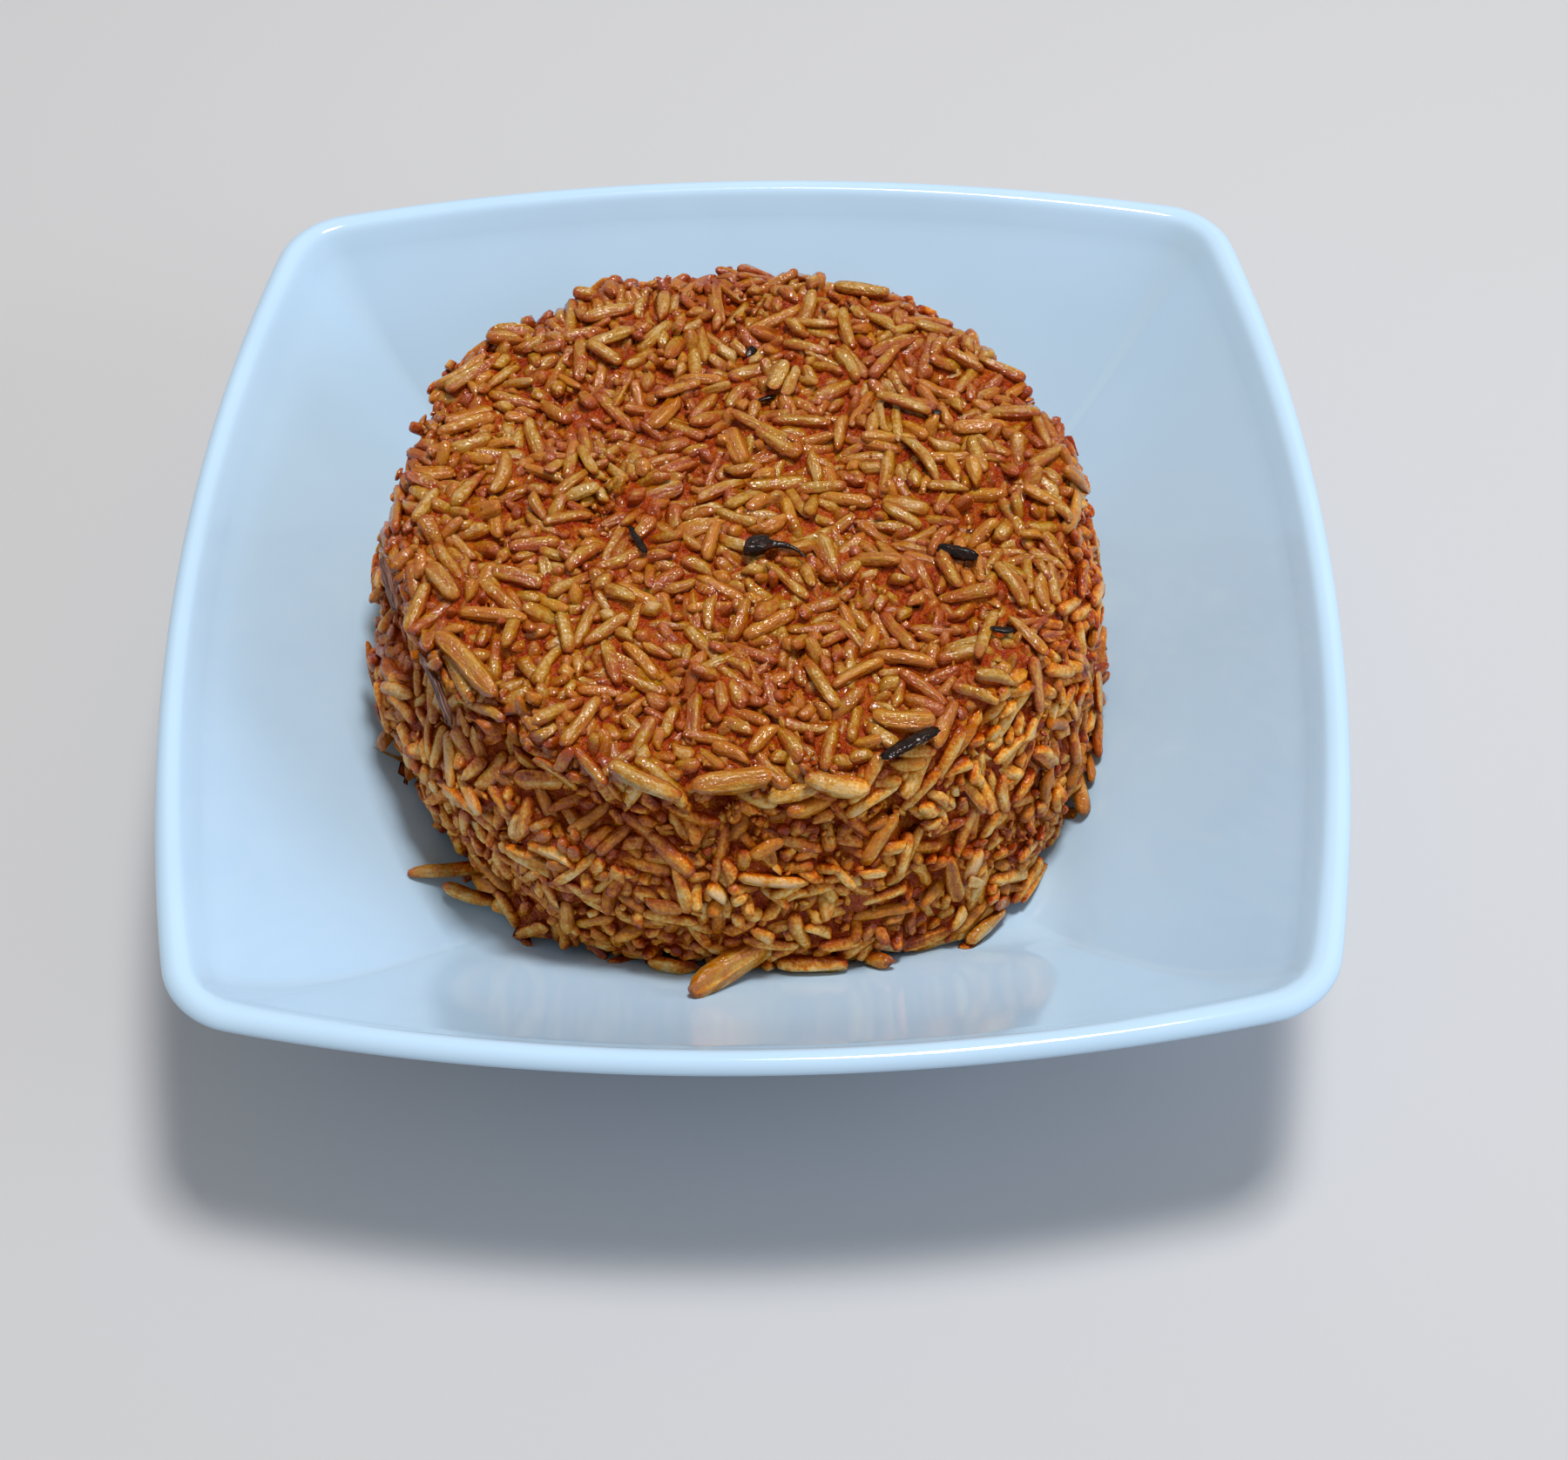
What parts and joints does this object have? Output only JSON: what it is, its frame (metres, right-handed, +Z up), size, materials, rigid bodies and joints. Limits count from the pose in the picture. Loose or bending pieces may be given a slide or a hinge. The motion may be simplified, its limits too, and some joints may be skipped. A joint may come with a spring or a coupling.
{
  "type": "jollof rice on a square plate",
  "caption": "Round moulded heap of red-brown jollof rice in a deep square white plate with bowed sides and sloping walls.",
  "frame": {"origin": "middle of the foot's underside, on the surface that the plate stands on", "axes": "+Z up, +X and +Y square to the plate's sides, -Y towards the side that the heap leans nearest to"},
  "size_m": [0.18, 0.18, 0.0585],
  "materials": {
    "glazed_plate": "smooth glossy glaze, faintly blue white",
    "cooked_rice": "oily cooked long grains stained by tomato, tan to orange, with red-brown sauce between them"
  },
  "bodies": {
    "root": {"plate": "glazed_plate", "rice_heap": "cooked_rice"}
  },
  "joints": []
}
